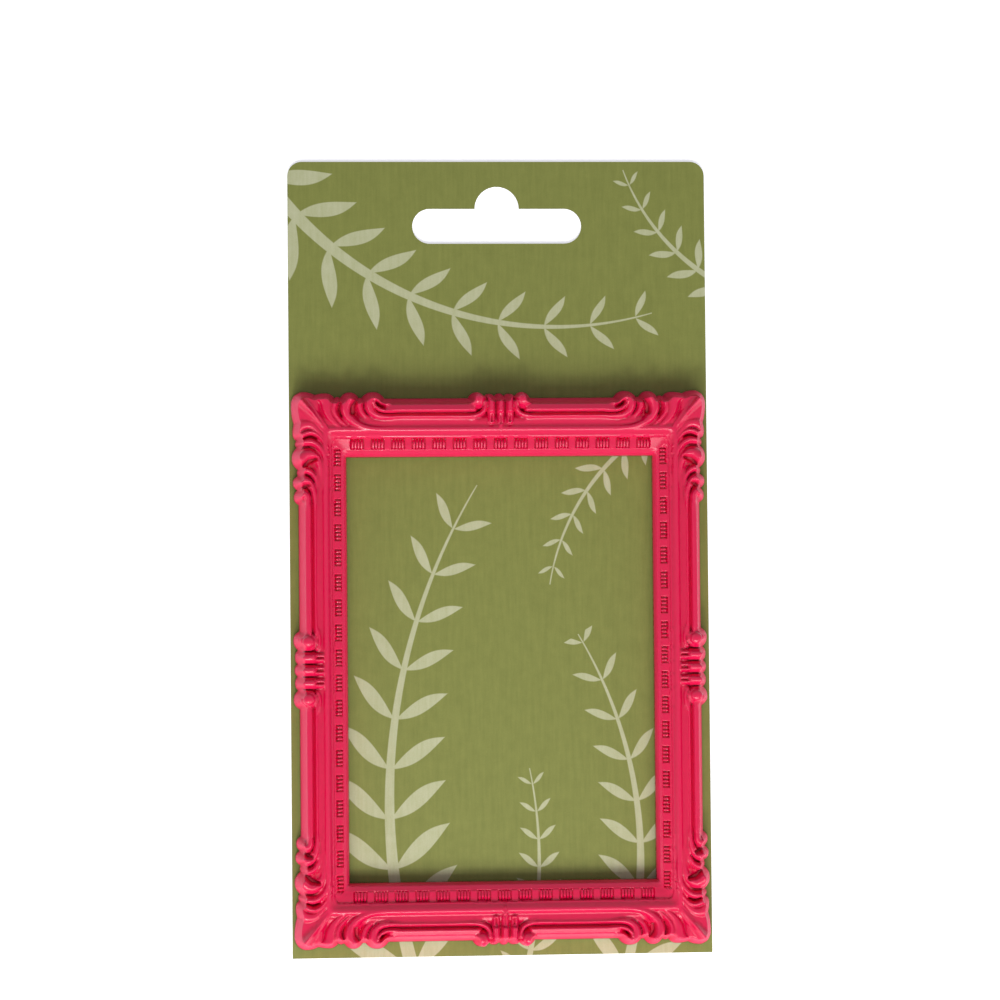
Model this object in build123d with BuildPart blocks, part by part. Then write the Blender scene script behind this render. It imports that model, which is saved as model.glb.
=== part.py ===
"""A small magnetic photo frame on its printed hang card.

The frame lies face up: +X runs across the picture, +Y up the picture and +Z out of its face.
The origin is below the middle of the window, on the surface that the card lies on. Millimetres.
"""

import os

from build123d import *

# Window of the frame, and how much longer the ornament is down the frame than across it
window_width = 55.0
window_height = 76.0
stretch = 1.23

# Bands of the side rail's section, from its outer edge towards the window
wall_draft = 0.95
bar_width = 1.2
groove_width = 0.35
ridge_width = 0.8
ridge_draft = 0.25
cove_width = 0.8
bead_width = 0.7
slope_width = 1.1
comb_band_width = 1.75
lip_width = 0.55
inner_draft = 0.5
leaf_overhang = 1.3

# Heights of the section above the moulding's back
wall_height = 4.5
bar_height = 6.2
bar_inner_height = 5.9
groove_height = 5.2
ridge_height = 5.95
cove_height = 5.05
bead_height = 5.8
comb_band_height = 4.1
comb_foot_height = 3.7
lip_height = 4.15

# Rebate behind the window that leaves room for the photograph's edge
rebate_width = 1.5
rebate_depth = 0.8

# Combs: short rows of pointed teeth round the window
comb_count_across = 15
comb_count_down = 18
comb_gap_across = 1.25
comb_gap_down = 1.75
teeth_per_comb = 4
tooth_width = 0.5
tooth_height = 1.0
tooth_valley = 0.05
tooth_end_gap = 0.12
tooth_root = 0.3

# Corner ornament, in pattern sizes from the corner: the pattern is stretched down the frame
leaf_tip = 0.6
leaf_side = 2.0
leaf_side_inset = 0.0
leaf_reach = 4.5
valley_depth = 0.8
top_lobes = [
    {"end": 7.9, "inset": 0.2, "groove_depth": 6.3},
    {"end": 12.4, "inset": 0.1, "groove_depth": 5.7},
    {"end": 16.6, "inset": 0.05, "groove_depth": 4.6},
]
side_lobes = [
    {"end": 7.4, "inset": 0.25, "groove_depth": 6.3},
    {"end": 11.4, "inset": 0.1, "groove_depth": 5.9},
    {"end": 14.3, "inset": 0.25, "groove_depth": 5.0},
    {"end": 16.6, "inset": 0.35, "groove_depth": 3.9},
]
ornament_depth = 7.2
ornament_knee = 11.5
ornament_knee_depth = 6.4
ornament_end_depth = 3.3
crown_wall = 4.9
crown_top = 6.7
crown_top_depth = 2.0
crown_foot = 5.0
groove_cut = 0.3
groove_floor = 5.0
groove_run = 4.6
groove_bow = 0.2
groove_lift = 0.66
vein_stations = [
    {"from_corner": 0.9, "width": 1.3, "height": 6.6},
    {"from_corner": 3.2, "width": 1.5, "height": 7.5},
    {"from_corner": 7.4, "width": 0.7, "height": 5.8},
]
vein_root = 4.5

# Cluster in the middle of each rail: fingers with a slit, between two knobs
finger_count = 3
finger_pitch = 1.75
finger_gap = 0.25
finger_start = 0.4
finger_end = 5.6
finger_height = 6.8
finger_bevel = 0.45
slit_start = 3.8
slit_end = 5.0
slit_width = 0.4
slit_depth = 0.6
knob_along = 4.17
knob_radius = 1.42
knob_inset = 0.2
knob_height = 6.6

# Flexible magnet strips glued into channels in the moulding's back
strip_width = 4.5
strip_thickness = 2.0
strip_clearance = 0.15
strip_end_gap = 2.0

# Removable glue dots between the card and the moulding's corner pads
dot_diameter = 6.0
dot_thickness = 0.5

# Printed hang card with a peg slot near its top edge
card_thickness = 0.5
card_corner_radius = 2.6
card_side_margin = 0.25
card_foot_margin = 1.5
card_header = 41.5
slot_length = 30.6
slot_height = 6.3
slot_hump_radius = 4.0
slot_drop = 11.7

# Sizes that follow from the driving ones
side_rail = (
    wall_draft + bar_width + groove_width + ridge_width + cove_width + bead_width
    + slope_width + comb_band_width + lip_width + inner_draft
)
top_rail = side_rail * stretch
window_x = window_width / 2
window_y = window_height / 2
bar_x = window_x + side_rail
bar_y = window_y + top_rail
edge_x = bar_x + leaf_overhang
edge_y = bar_y + leaf_overhang
back_z = card_thickness + dot_thickness
back_plane = Plane.XY.offset(back_z)


def section_arc(start, middle, end, widen):
    """An arc through three points of a section, widened across the rail."""
    ThreePointArc(*[(across * widen, height) for across, height in (start, middle, end)])


def section_line(points, widen):
    """Straight lines through points of a section, widened across the rail."""
    Polyline(*[(across * widen, height) for across, height in points])


def rail_part(section_plane, widen, half_length):
    """One straight rail, longer than needed, with the section drawn from its outer edge inwards."""
    bar_start = wall_draft
    bar_end = bar_start + bar_width
    ridge_start = bar_end + groove_width
    ridge_end = ridge_start + ridge_width
    bead_start = ridge_end + cove_width
    slope_start = bead_start + bead_width
    comb_start = slope_start + slope_width
    lip_start = comb_start + comb_band_width
    lip_end = lip_start + lip_width
    bar_crown = ((bar_start + bar_end) / 2, bar_height)
    lip_crest = (lip_start + lip_end) / 2
    with BuildPart() as rail_builder:
        with BuildSketch(section_plane):
            with BuildLine():
                section_line([(side_rail, 0), (0, 0), (bar_start, wall_height)], widen)
                section_arc((bar_start, wall_height), bar_crown, (bar_end, bar_inner_height), widen)
                section_line(
                    [
                        (bar_end, bar_inner_height),
                        (bar_end, groove_height),
                        (ridge_start, groove_height),
                        (ridge_start + ridge_draft, ridge_height),
                        (ridge_end - ridge_draft, ridge_height),
                        (ridge_end, cove_height),
                        (bead_start, cove_height),
                        (slope_start, bead_height),
                        (comb_start, comb_band_height),
                        (lip_start, comb_foot_height),
                        (lip_crest, lip_height),
                        (lip_end, comb_foot_height),
                        (side_rail, 0),
                    ],
                    widen,
                )
            make_face()
        extrude(amount=half_length, both=True)
    return rail_builder.part


def mitred_rail(rail, *outline):
    """A rail cut to its outline: the lines from the bars' corners to the window's corners."""
    with BuildPart() as cut_rail:
        add(rail)
        with BuildSketch(back_plane):
            Polygon(*outline, align=None)
        extrude(amount=2 * bar_height, mode=Mode.INTERSECT)
    return cut_rail.part


def rail_ring():
    """The four mitred rails as one ring."""
    top_plane = Plane(origin=(0, bar_y, back_z), x_dir=(0, -1, 0), z_dir=(-1, 0, 0))
    left_plane = Plane(origin=(-bar_x, 0, back_z), x_dir=(1, 0, 0), z_dir=(0, -1, 0))
    top = mitred_rail(
        rail_part(top_plane, stretch, bar_x),
        (-bar_x, bar_y), (-window_x, window_y), (window_x, window_y), (bar_x, bar_y),
    )
    left = mitred_rail(
        rail_part(left_plane, 1, bar_y),
        (-bar_x, -bar_y), (-window_x, -window_y), (-window_x, window_y), (-bar_x, bar_y),
    )
    with BuildPart() as ring:
        add(top)
        add(left)
        mirror(top, about=Plane.XZ)
        mirror(left, about=Plane.YZ)
    return ring.part


def from_corner(along, depth, on_top):
    """A point of the upper right corner's pattern, along the top edge or else down the right edge."""
    across, down = (along, depth) if on_top else (depth, along)
    return (edge_x - across, edge_y - down * stretch)


def from_middle(along, depth, on_top):
    """A point of a middle cluster's pattern, on the top rail or else on the right rail."""
    if on_top:
        return (along, edge_y - depth * stretch)
    return (edge_x - depth, along * stretch)


def corner_half(on_top):
    """One mitred half of the corner ornament: a scalloped outline under a ridged crown."""
    def place(along, depth):
        return from_corner(along, depth, on_top)

    with BuildPart() as half:
        with BuildSketch(back_plane):
            with BuildLine():
                ThreePointArc(
                    place(leaf_tip, leaf_tip),
                    place(leaf_side, leaf_side_inset),
                    place(leaf_reach, valley_depth),
                )
                lobe_start = leaf_reach
                for lobe in top_lobes if on_top else side_lobes:
                    ThreePointArc(
                        place(lobe_start, valley_depth),
                        place((lobe_start + lobe["end"]) / 2, lobe["inset"]),
                        place(lobe["end"], valley_depth),
                    )
                    lobe_start = lobe["end"]
                Polyline(
                    place(lobe_start, valley_depth),
                    place(lobe_start, ornament_end_depth),
                    place(ornament_knee, ornament_knee_depth),
                    place(ornament_depth, ornament_depth),
                    place(leaf_tip, leaf_tip),
                )
            make_face()
        extrude(amount=2 * crown_top)
        if on_top:
            crown_plane = Plane(origin=(edge_x, edge_y, back_z), x_dir=(0, -1, 0), z_dir=(-1, 0, 0))
        else:
            crown_plane = Plane(origin=(edge_x, edge_y, back_z), x_dir=(-1, 0, 0), z_dir=(0, 1, 0))
        widen = stretch if on_top else 1
        with BuildSketch(crown_plane):
            with BuildLine():
                section_line(
                    [
                        (0, 0),
                        (0, crown_wall),
                        (crown_top_depth, crown_top),
                        (ornament_depth, crown_foot),
                        (ornament_depth, 0),
                        (0, 0),
                    ],
                    widen,
                )
            make_face()
        extrude(amount=edge_y, both=True, mode=Mode.INTERSECT)
    return half.part


def corner_vein():
    """The vein along the corner leaf's middle: a ridge that rises from the corner and runs out inwards."""
    distances = [station["from_corner"] for station in vein_stations]
    places = [Vector(*from_corner(distance, distance, True), back_z) for distance in distances]
    inwards = (places[-1] - places[0]).normalized()
    across = inwards.cross(Vector(0, 0, 1))
    with BuildPart() as vein:
        for place, station in zip(places, vein_stations):
            half_width = station["width"] / 2
            crest = (0, -station["height"])
            with BuildSketch(Plane(origin=place, x_dir=across, z_dir=inwards)):
                Polygon((-half_width, -vein_root), (half_width, -vein_root), crest, align=None)
        loft(ruled=True)
    return vein.part


def corner_grooves(on_top):
    """Curved cuts between the lobes, from the valleys of the outline inwards and along the rail."""
    with BuildPart() as grooves:
        lobe_start = leaf_reach
        for lobe in top_lobes if on_top else side_lobes:
            with BuildSketch(back_plane.offset(groove_floor)):
                with BuildLine():
                    ThreePointArc(
                        from_corner(lobe_start, 0, on_top),
                        from_corner(
                            lobe_start + groove_bow * groove_run, groove_lift * lobe["groove_depth"], on_top
                        ),
                        from_corner(lobe_start + groove_run, lobe["groove_depth"], on_top),
                    )
                trace(line_width=groove_cut)
            extrude(amount=crown_top)
            lobe_start = lobe["end"]
    return grooves.part


def middle_cluster(on_top):
    """Bevelled fingers across the rail's middle, each with a slit, and a flat knob at each side."""
    along_scale, across_scale = (1, stretch) if on_top else (stretch, 1)
    turn = 90 if on_top else 0
    pitch = finger_pitch * along_scale
    finger_width = pitch - finger_gap * along_scale
    reach = (finger_end - finger_start) * across_scale
    slit_length = (slit_end - slit_start) * across_scale
    places = [index - (finger_count - 1) / 2 for index in range(finger_count)]
    if on_top:
        across_plane = Plane(origin=(0, edge_y, back_z), x_dir=(1, 0, 0), z_dir=(0, -1, 0))
    else:
        across_plane = Plane(origin=(edge_x, 0, back_z), x_dir=(0, -1, 0), z_dir=(-1, 0, 0))
    flat = finger_width / 2 - finger_bevel
    eave = finger_height - (pitch / 2 - flat)
    radius = knob_radius * along_scale
    knob_depth = knob_inset + radius / across_scale
    with BuildPart() as cluster:
        with BuildSketch(back_plane):
            for place in places:
                with Locations(from_middle(place * finger_pitch, finger_end, on_top)):
                    SlotOverall(2 * reach, finger_width, rotation=turn)
        extrude(amount=finger_height)
        with BuildSketch(across_plane):
            for place in places:
                with Locations((place * pitch, 0)):
                    Polygon(
                        (-pitch / 2, 0), (pitch / 2, 0), (pitch / 2, eave), (flat, finger_height),
                        (-flat, finger_height), (-pitch / 2, eave),
                        align=None,
                    )
        extrude(amount=finger_end * across_scale, mode=Mode.INTERSECT)
        with BuildSketch(back_plane.offset(finger_height)):
            for place in places:
                with Locations(from_middle(place * finger_pitch, (slit_start + slit_end) / 2, on_top)):
                    Rectangle(slit_length, slit_width, rotation=turn)
        extrude(amount=-slit_depth, mode=Mode.SUBTRACT)
        with BuildSketch(back_plane):
            for side in (-1, 1):
                with Locations(from_middle(side * knob_along, knob_depth, on_top)):
                    Circle(radius)
        extrude(amount=knob_height)
    return cluster.part


def comb_row(row_plane, count, pitch, gap, tooth_length):
    """A row of combs: each a zigzag of pointed teeth, drawn across the teeth and extruded along them."""
    spread = (pitch - gap - tooth_width) / (teeth_per_comb - 1)
    comb_length = pitch - gap
    top = comb_foot_height + tooth_height
    valley = comb_band_height + tooth_valley
    foot = comb_foot_height - tooth_root
    zigzag = [(-comb_length / 2, foot)]
    for tooth in range(teeth_per_comb):
        apex = (tooth_width - comb_length) / 2 + tooth * spread
        zigzag += [(apex, top), (apex + spread / 2, valley)]
    zigzag[-1] = (comb_length / 2, foot)
    with BuildPart() as row:
        with BuildSketch(row_plane):
            with GridLocations(pitch, 0, count, 1):
                Polygon(*zigzag, align=None)
        extrude(amount=tooth_length / 2, both=True)
    return row.part


def comb_rows():
    """The top and right rows of combs, on the band between the slope and the lip."""
    comb_depth = inner_draft + lip_width + comb_band_width / 2
    row_x = window_x + comb_depth
    row_y = window_y + comb_depth * stretch
    top_plane = Plane(origin=(0, row_y, back_z), x_dir=(1, 0, 0), z_dir=(0, -1, 0))
    right_plane = Plane(origin=(row_x, 0, back_z), x_dir=(0, -1, 0), z_dir=(-1, 0, 0))
    pitch_across = window_width / comb_count_across
    pitch_down = (window_height + 2 * comb_band_width * stretch) / comb_count_down
    top_length = comb_band_width * stretch - 2 * tooth_end_gap
    right_length = comb_band_width - 2 * tooth_end_gap
    return [
        comb_row(top_plane, comb_count_across, pitch_across, comb_gap_across, top_length),
        comb_row(right_plane, comb_count_down, pitch_down, comb_gap_down, right_length),
    ]


def mirrored(pieces, *planes):
    """The pieces and their mirror images in each plane in turn."""
    for plane in planes:
        pieces = pieces + [mirror(piece, about=plane, mode=Mode.PRIVATE) for piece in pieces]
    return pieces


# Magnet strips: the middle of each rail's flat back, between the outer edge and the rebate
strip_x = window_x + rebate_width + (side_rail - rebate_width) / 2
strip_y = window_y + rebate_width + (top_rail - rebate_width) / 2
strip_across = window_width - 2 * strip_end_gap
strip_down = window_height - 2 * strip_end_gap
strips = {
    "magnet_strip_top": (0, strip_y, strip_across, strip_width),
    "magnet_strip_bottom": (0, -strip_y, strip_across, strip_width),
    "magnet_strip_left": (-strip_x, 0, strip_width, strip_down),
    "magnet_strip_right": (strip_x, 0, strip_width, strip_down),
}
os.makedirs("parts", exist_ok=True)

ornament = mirrored([corner_half(True), corner_half(False), corner_vein()], Plane.YZ, Plane.XZ)
ornament += mirrored([middle_cluster(on_top=True)], Plane.XZ)
ornament += mirrored([middle_cluster(on_top=False)], Plane.YZ)
cuts = mirrored([corner_grooves(True), corner_grooves(False)], Plane.YZ, Plane.XZ)
top_combs, right_combs = comb_rows()
combs = mirrored([top_combs], Plane.XZ) + mirrored([right_combs], Plane.YZ)
with BuildPart() as frame_moulding:
    add(rail_ring())
    add(ornament)
    add(cuts, mode=Mode.SUBTRACT)
    add(combs)
    with BuildSketch(back_plane):
        Rectangle(window_width + 2 * rebate_width, window_height + 2 * rebate_width)
    extrude(amount=rebate_depth, mode=Mode.SUBTRACT)
    with BuildSketch(back_plane):
        for x, y, width, length in strips.values():
            with Locations((x, y)):
                Rectangle(width + 2 * strip_clearance, length + 2 * strip_clearance)
    extrude(amount=strip_thickness, mode=Mode.SUBTRACT)
frame_moulding.part.label = "frame_moulding"
export_step(frame_moulding.part, "parts/frame_moulding.step")

for name, (x, y, width, length) in strips.items():
    with BuildPart() as magnet_strip:
        with BuildSketch(back_plane):
            with Locations((x, y)):
                Rectangle(width, length)
        extrude(amount=strip_thickness)
    magnet_strip.part.label = name
    export_step(magnet_strip.part, f"parts/{name}.step")

# Glue dots under the corner pads, which lie outside the rebate's corners
dot_x = (window_x + rebate_width + bar_x) / 2
dot_y = (window_y + rebate_width + bar_y) / 2
for row, y in (("top", dot_y), ("bottom", -dot_y)):
    for side, x in (("left", -dot_x), ("right", dot_x)):
        with BuildPart() as glue_dot:
            with BuildSketch(Plane.XY.offset(card_thickness)):
                with Locations((x, y)):
                    Circle(dot_diameter / 2)
            extrude(amount=dot_thickness)
        glue_dot.part.label = f"glue_dot_{row}_{side}"
        export_step(glue_dot.part, f"parts/glue_dot_{row}_{side}.step")

# Hang card: square at its foot, rounded at its top, with a slot and a round hump over the slot's middle
card_x = edge_x + card_side_margin
card_top = edge_y + card_header
card_foot = -edge_y - card_foot_margin
slot_y = card_top - slot_drop
with BuildPart() as hang_card:
    with BuildSketch(Plane.XY) as card_outline:
        with BuildLine():
            FilletPolyline(
                (-card_x, card_foot), (-card_x, card_top), (card_x, card_top), (card_x, card_foot),
                radius=card_corner_radius,
            )
            Line((card_x, card_foot), (-card_x, card_foot))
        make_face()
        with Locations((0, slot_y)):
            SlotOverall(slot_length, slot_height, mode=Mode.SUBTRACT)
        with Locations((0, slot_y + slot_height / 2)):
            Circle(slot_hump_radius, mode=Mode.SUBTRACT)
    extrude(amount=card_thickness)
hang_card.part.label = "hang_card"
export_step(hang_card.part, "parts/hang_card.step")
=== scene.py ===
import math

import bpy
import numpy as np
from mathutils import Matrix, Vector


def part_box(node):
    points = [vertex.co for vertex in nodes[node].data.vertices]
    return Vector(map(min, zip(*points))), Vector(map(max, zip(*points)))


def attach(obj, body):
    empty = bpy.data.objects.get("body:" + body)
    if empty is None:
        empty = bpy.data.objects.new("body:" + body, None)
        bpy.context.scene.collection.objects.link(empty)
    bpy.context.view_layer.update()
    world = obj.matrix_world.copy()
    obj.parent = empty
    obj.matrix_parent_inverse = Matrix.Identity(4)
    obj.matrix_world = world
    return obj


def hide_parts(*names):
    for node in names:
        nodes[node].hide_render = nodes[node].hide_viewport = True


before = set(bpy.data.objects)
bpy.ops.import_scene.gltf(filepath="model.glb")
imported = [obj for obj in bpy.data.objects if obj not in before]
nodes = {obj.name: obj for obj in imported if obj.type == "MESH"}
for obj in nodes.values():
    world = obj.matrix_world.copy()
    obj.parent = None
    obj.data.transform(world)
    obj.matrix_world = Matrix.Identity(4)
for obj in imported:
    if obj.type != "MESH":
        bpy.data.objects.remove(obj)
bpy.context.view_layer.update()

mm = 0.001  # shapes are worked out in millimetres and put into the meshes in metres
print("frame loaded:", len(nodes), "nodes")


def nodeBox(name):
    # lowest and highest corner of a node, in millimetres
    low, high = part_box(name)
    return np.array(low) / mm, np.array(high) / mm


def blendStep(low, high, value):
    # 0 below low, 1 above high, and a smooth cubic between them
    part = np.clip((value - low) / (high - low), 0, 1)
    return part * part * (3 - 2 * part)


def softMin(first, second, width):
    # the smaller of two heights, with the crease between them rounded over the width
    return -width * np.logaddexp(-first / width, -second / width)


def smoothPath(points, count):
    # cubic through the points, where each tangent is half the step between a point's two neighbours
    spots = np.array(points, float)
    tangents = np.gradient(spots, axis=0)
    place = np.linspace(0, len(spots) - 1, count)
    index = np.minimum(place.astype(int), len(spots) - 2)
    part = (place - index)[:, None]
    square, cube = part ** 2, part ** 3
    return (
        spots[index] * (2 * cube - 3 * square + 1) + tangents[index] * (cube - 2 * square + part)
        + spots[index + 1] * (3 * square - 2 * cube) + tangents[index + 1] * (cube - square)
    )


def spacedStops(stops, spacings):
    # values from stop to stop, evenly spaced inside each gap, with every stop kept
    runs = []
    for start, end, spacing in zip(stops[:-1], stops[1:], spacings):
        count = max(1, math.ceil((end - start) / spacing))
        runs.append(np.linspace(start, end, count, endpoint=False))
    return np.concatenate(runs + [[stops[-1]]])


def gridFaces(rows, columns, closeRows, closeColumns):
    # quads of a grid whose point in a row and column has the number row * columns + column
    row = np.arange(rows if closeRows else rows - 1)[:, None]
    column = np.arange(columns if closeColumns else columns - 1)[None, :]
    nextRow, nextColumn = (row + 1) % rows, (column + 1) % columns
    corners = [
        row * columns + column, nextRow * columns + column,
        nextRow * columns + nextColumn, row * columns + nextColumn,
    ]
    return np.stack(corners, axis=-1).reshape(-1, 4)


def quadMesh(name, points, quads, material, smooth=True):
    # a closed mesh of quads, turned round if its signed volume is negative; smooth is one value or one a face
    corner = points[quads]
    volume = np.einsum("ij,ij->i", corner[:, 0], np.cross(corner[:, 1], corner[:, 2])).sum()
    volume += np.einsum("ij,ij->i", corner[:, 0], np.cross(corner[:, 2], corner[:, 3])).sum()
    if volume < 0:
        quads = quads[:, ::-1]
    mesh = bpy.data.meshes.new(name)
    mesh.vertices.add(len(points))
    mesh.vertices.foreach_set("co", (points * mm).astype(np.float32).ravel())
    mesh.loops.add(quads.size)
    mesh.loops.foreach_set("vertex_index", quads.astype(np.int32).ravel())
    mesh.polygons.add(len(quads))
    mesh.polygons.foreach_set("loop_start", np.arange(0, quads.size, 4, dtype=np.int32))
    mesh.polygons.foreach_set("use_smooth", np.full(len(quads), smooth))
    mesh.update(calc_edges=True)
    mesh.materials.append(material)
    piece = bpy.data.objects.new(name, mesh)
    bpy.context.scene.collection.objects.link(piece)
    return piece


class Flow:
    # one shader socket, so that node maths is written as plain arithmetic
    def __init__(self, tree, socket=None):
        self.tree = tree
        self.socket = socket

    def node(self, kind, settings=None, inputs=None, output=0):
        # a node of any kind: its settings, then the values or links of its sockets
        made = self.tree.nodes.new(kind)
        for name, value in (settings or {}).items():
            setattr(made, name, value)
        for name, value in (inputs or {}).items():
            if isinstance(value, Flow):
                self.tree.links.new(value.socket, made.inputs[name])
            else:
                made.inputs[name].default_value = value
        return Flow(self.tree, made.outputs[output])

    def maths(self, operation, *values):
        return self.node("ShaderNodeMath", {"operation": operation}, dict(enumerate(values)))

    def __add__(self, other):
        return self.maths("ADD", self, other)

    def __sub__(self, other):
        return self.maths("SUBTRACT", self, other)

    def __rsub__(self, other):
        return self.maths("SUBTRACT", other, self)

    def __mul__(self, other):
        return self.maths("MULTIPLY", self, other)

    def __truediv__(self, other):
        return self.maths("DIVIDE", self, other)

    def __gt__(self, other):
        return self.maths("GREATER_THAN", self, other)

    __radd__ = __add__
    __rmul__ = __mul__

    def clamp(self):
        return self.maths("MAXIMUM", self.maths("MINIMUM", self, 1.0), 0.0)

    def size(self):
        return self.maths("ABSOLUTE", self)

    def mixed(self, first, second):
        # two colours, mixed by this value
        return self.node(
            "ShaderNodeMix", {"data_type": "RGBA"}, {0: self, 6: first, 7: second}, output=2,
        )


def newMaterial(name):
    # a material with its own Principled shader: the flow that makes nodes, and the shader's sockets
    material = bpy.data.materials.new(name)
    material.use_nodes = True
    shader = material.node_tree.nodes["Principled BSDF"]
    return material, Flow(material.node_tree), shader


def link(flow, shader, socket):
    flow.tree.links.new(flow.socket, shader.inputs[socket])


def objectNoise(flow, scale, detail=2.0, roughness=0.5):
    # noise about 0.5 on Object coordinates; scale holds the grains to a metre along X, Y and Z
    place = flow.node("ShaderNodeTexCoord", output="Object")
    mapped = flow.node("ShaderNodeMapping", {}, {"Vector": place, "Scale": scale})
    return flow.node(
        "ShaderNodeTexNoise", {}, {"Vector": mapped, "Scale": 1.0, "Detail": detail, "Roughness": roughness},
    )


def bumpNormal(flow, shader, height, bump):
    # bump holds the strength, and the distance in metres
    strength, distance = bump
    made = flow.node("ShaderNodeBump", {}, {"Height": height, "Strength": strength, "Distance": distance})
    link(made, shader, "Normal")


# Red satin paint on moulded plastic, with painted light: a painted highlight makes crests paler, walls are
# painted paler for the light they catch, and painted shade makes crevices deeper
redPaint = {
    "flat": (0.775, 0.002, 0.066, 1),
    # painted highlight: a paler, pinker red on crests, standing in for the light that catches them
    "crest": (0.840, 0.016, 0.094, 1),
    # painted shade: a darker red in crevices, standing in for the shade that falls there
    "paintedShade": (0.380, 0.000, 0.026, 1),
    # walls painted paler red, standing in for the light that the steep sides catch
    "wall": (0.850, 0.012, 0.092, 1),
    "paintedHighlightGain": 1.4,  # share of the painted highlight's colour for each millimetre that a point stands proud
    "paintedShadeGain": 1.8,
    "wallFrom": 0.45,  # how steep a wall begins: 0 is flat and 1 is upright
    "wallGain": 3.0,
    "wallPaintedShadeLoss": 0.75,  # how much of the painted shade a wall loses
    "mottleGrains": (900, 900, 900),
    "paintedHighlightMottle": 0.25,
    "paintedShadeMottle": 0.2,
    "roughness": 0.19,
    "mottleRoughness": 0.12,
    "creviceRoughness": 0.12,
    "wallRoughness": 0.4,
    "specular": 0.38,
    "peelGrains": (2600, 2600, 2600),
    "peel": (0.25, 0.00004),
}


def redPaintMaterial():
    material, flow, shader = newMaterial("redSatinPaint")
    crest = flow.node("ShaderNodeAttribute", {"attribute_name": "crest"}, output="Fac")
    steep = flow.node("ShaderNodeAttribute", {"attribute_name": "steep"}, output="Fac")
    wall = ((steep - redPaint["wallFrom"]) * redPaint["wallGain"]).clamp()
    mottle = objectNoise(flow, redPaint["mottleGrains"], 3.0) - 0.5
    # painted highlight on crests, where a point stands over its neighbours
    raised = (crest * redPaint["paintedHighlightGain"] + mottle * redPaint["paintedHighlightMottle"]).clamp()
    # painted shade in crevices, where a point lies below its neighbours
    paintedShadeMask = (crest * -redPaint["paintedShadeGain"] + mottle * redPaint["paintedShadeMottle"]).clamp()
    paintedShadeMask = paintedShadeMask * (1.0 - wall * redPaint["wallPaintedShadeLoss"])
    colour = raised.mixed(redPaint["flat"], redPaint["crest"])
    # steep walls painted paler, standing in for the light they catch
    colour = wall.mixed(colour, redPaint["wall"])
    colour = paintedShadeMask.mixed(colour, redPaint["paintedShade"])
    link(colour, shader, "Base Color")
    roughness = redPaint["roughness"] + mottle * redPaint["mottleRoughness"]
    roughness = roughness + paintedShadeMask * redPaint["creviceRoughness"] + wall * redPaint["wallRoughness"]
    link(roughness, shader, "Roughness")
    bumpNormal(flow, shader, objectNoise(flow, redPaint["peelGrains"], 2.0), redPaint["peel"])
    shader.inputs["Specular IOR Level"].default_value = redPaint["specular"]
    return material


# Printed card: an olive ground with pale sprigs, and a bare board edge and back
cardPrint = {
    "ground": (0.252, 0.272, 0.062, 1),
    "groundDark": (0.186, 0.206, 0.042, 1),
    "ink": (0.580, 0.590, 0.360, 1),
    "inkDeep": (0.450, 0.470, 0.230, 1),
    "board": (0.780, 0.770, 0.730, 1),
    "roughness": 0.52,
    "mottleRoughness": 0.15,
    "inkGloss": 0.06,
    "specular": 0.3,
    "bump": (0.12, 0.00003),
    "streakGrains": (1500, 130, 1),
    "mottleGrains": (420, 420, 1),
    "boardGrains": (4200, 4200, 1),
    "toneShares": (1.1, 0.9, 0.5),  # what streaks, mottle and grain add to the darker tone
    "toneMiddle": 0.4,
    "leafSlant": 0.75,  # how far a leaf leans towards the tip for each step off the stem
    "tipLeaf": 0.4,  # size of the last leaf as a share of the first
    "tipStem": 0.15,
    "stemEdge": 8.0,  # how fast the ink fills in from its edge, to a millimetre
    "leafEdge": 6.0,
    # each sprig: the root and tip of its arc and how far the arc bows to the left of the way between them,
    # the half width of its stem, the step between pairs of leaves, and a leaf's length and half width,
    # in millimetres
    "sprigs": [
        {"root": (-15, -58), "tip": (-4, 33), "bow": 10, "stem": 1.2, "step": 9.0, "leaf": 13.5, "half": 2.5},
        {"root": (21, -58), "tip": (14, 6), "bow": -7, "stem": 0.9, "step": 7.6, "leaf": 10.0, "half": 1.9},
        {"root": (-44, 92), "tip": (28, 64), "bow": -13, "stem": 1.2, "step": 8.4, "leaf": 11.0, "half": 2.1},
        {"root": (43, 68), "tip": (23, 90), "bow": 3, "stem": 0.5, "step": 5.0, "leaf": 6.0, "half": 1.2},
        {"root": (33, 46), "tip": (9, 15), "bow": -5, "stem": 0.5, "step": 5.0, "leaf": 6.0, "half": 1.2},
        {"root": (3, -58), "tip": (5, -18), "bow": -2.5, "stem": 0.5, "step": 5.0, "leaf": 6.0, "half": 1.2},
    ],
}


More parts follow.
